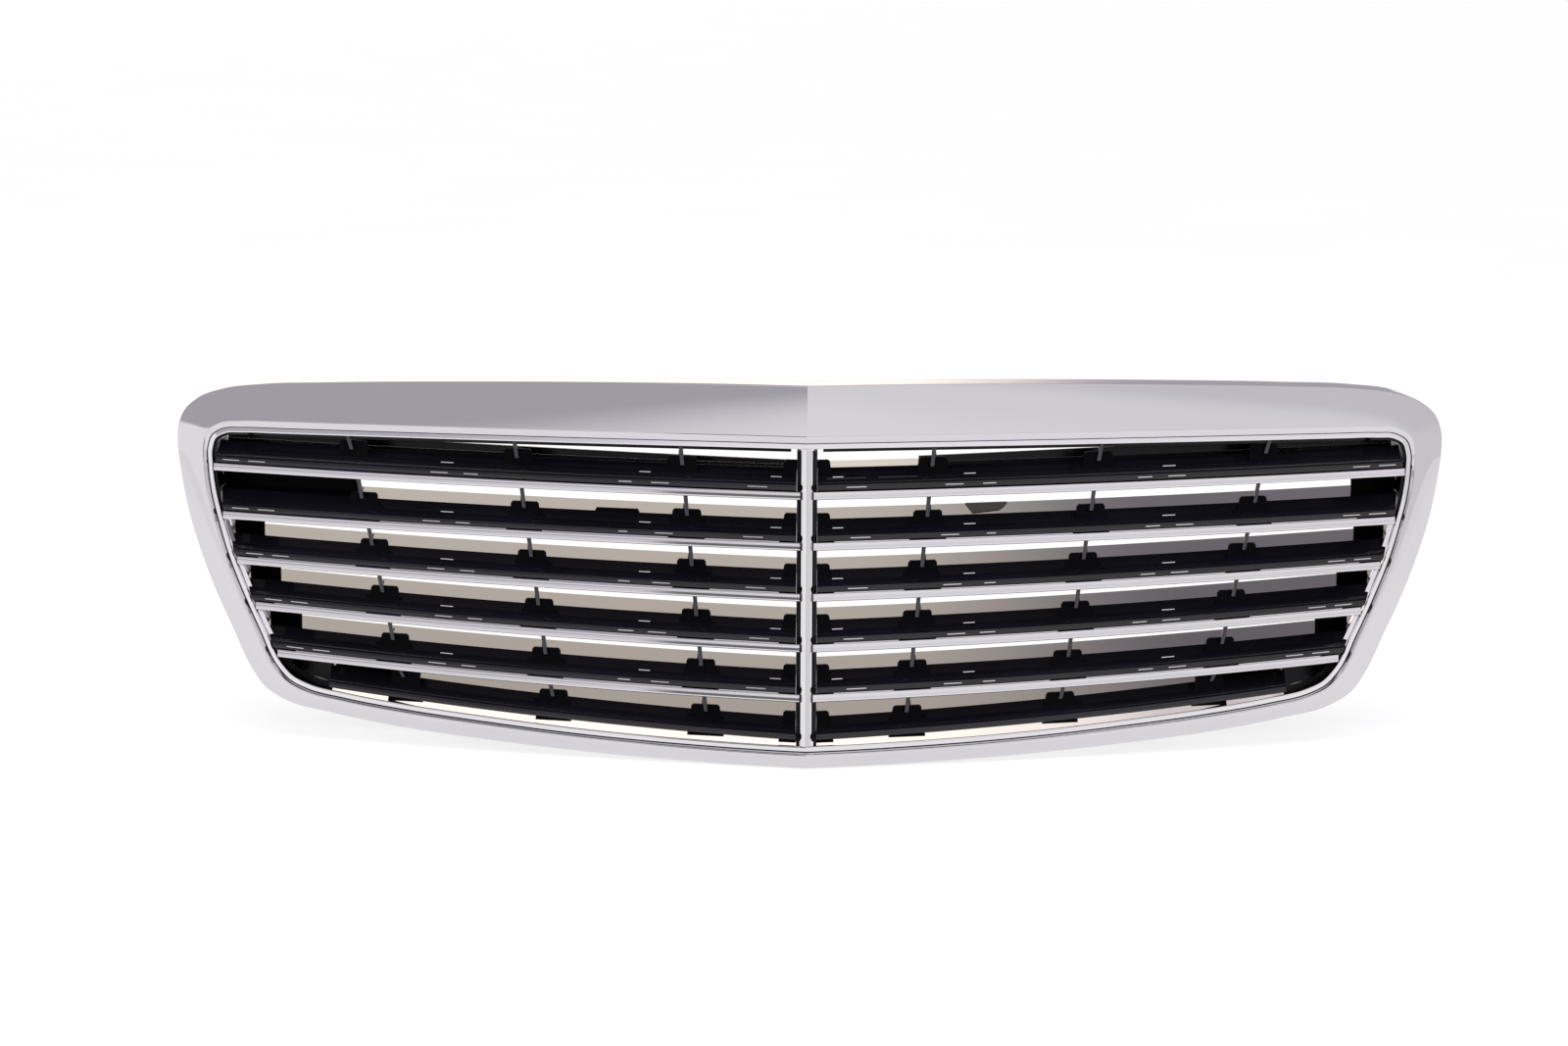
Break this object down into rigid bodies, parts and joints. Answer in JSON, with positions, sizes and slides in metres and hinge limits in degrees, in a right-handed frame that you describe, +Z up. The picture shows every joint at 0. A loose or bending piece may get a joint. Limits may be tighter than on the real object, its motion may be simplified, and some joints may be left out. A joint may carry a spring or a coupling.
{
  "type": "front grille",
  "caption": "Front grille for a large saloon: chrome surround with a ridge at the middle, centre bar, chrome-edged black louvres, rear carrier with brackets and quarter-turn locks.",
  "frame": {"origin": "midway between the two top bolt holes, on the upper face of their tabs", "axes": "+Z up, -Y towards the front of the car, +X to the right of a person who faces the grille"},
  "size_m": [0.8, 0.1892, 0.2274],
  "materials": {
    "surround_chrome": "bright chrome plate on ABS",
    "bezel_chrome": "bright chrome plate on ABS",
    "bar_chrome": "bright chrome plate",
    "strip_chrome": "bright chrome plate",
    "louvre_gloss_black": "high gloss black",
    "frame_gloss_black": "gloss black",
    "carrier_black": "fine grained matt",
    "bracket_steel": "zinc plated sheet steel",
    "lock_black": "glass filled nylon",
    "screw_zinc": "zinc plated",
    "foam": "closed cell foam",
    "rubber": "moulded rubber"
  },
  "bodies": {
    "grille": {"surround_shell": "surround_chrome", "inner_bezel": "bezel_chrome", "centre_bar": "bar_chrome", "trim_strip_left_1": "strip_chrome", "trim_strip_left_2": "strip_chrome", "trim_strip_left_3": "strip_chrome", "trim_strip_left_4": "strip_chrome", "trim_strip_left_5": "strip_chrome", "trim_strip_right_1": "strip_chrome", "trim_strip_right_2": "strip_chrome", "trim_strip_right_3": "strip_chrome", "trim_strip_right_4": "strip_chrome", "trim_strip_right_5": "strip_chrome", "insert_frame_left": "frame_gloss_black", "insert_frame_right": "frame_gloss_black", "louvre_left_1": "louvre_gloss_black", "louvre_left_2": "louvre_gloss_black", "louvre_left_3": "louvre_gloss_black", "louvre_left_4": "louvre_gloss_black", "louvre_left_5": "louvre_gloss_black", "louvre_left_6": "louvre_gloss_black", "louvre_right_1": "louvre_gloss_black", "louvre_right_2": "louvre_gloss_black", "louvre_right_3": "louvre_gloss_black", "louvre_right_4": "louvre_gloss_black", "louvre_right_5": "louvre_gloss_black", "louvre_right_6": "louvre_gloss_black", "rear_carrier": "carrier_black", "bracket_top_left": "bracket_steel", "bracket_top_right": "bracket_steel", "bracket_bottom_left": "bracket_steel", "bracket_bottom_right": "bracket_steel", "carrier_screws": "screw_zinc", "bracket_screws": "screw_zinc", "foam_seal": "foam", "rubber_buffer_left": "rubber", "rubber_buffer_right": "rubber"},
    "turn_lock_top_left": {"turn_lock_top_left": "lock_black"},
    "turn_lock_top_right": {"turn_lock_top_right": "lock_black"},
    "turn_lock_bottom_left": {"turn_lock_bottom_left": "lock_black"},
    "turn_lock_bottom_right": {"turn_lock_bottom_right": "lock_black"}
  },
  "joints": [
    {"name": "turn_lock_top_left_turn", "type": "hinge", "parent": "grille", "child": "turn_lock_top_left", "pos_m": [-0.25, -0.021, -0.0155], "axis": [0, -1, 0], "range_deg": [0, 90]},
    {"name": "turn_lock_top_right_turn", "type": "hinge", "parent": "grille", "child": "turn_lock_top_right", "pos_m": [0.25, -0.021, -0.0155], "axis": [0, 1, 0], "range_deg": [0, 90]},
    {"name": "turn_lock_bottom_left_turn", "type": "hinge", "parent": "grille", "child": "turn_lock_bottom_left", "pos_m": [-0.2, -0.061, -0.2025], "axis": [0, -1, 0], "range_deg": [0, 90]},
    {"name": "turn_lock_bottom_right_turn", "type": "hinge", "parent": "grille", "child": "turn_lock_bottom_right", "pos_m": [0.2, -0.061, -0.2025], "axis": [0, 1, 0], "range_deg": [0, 90]}
  ]
}
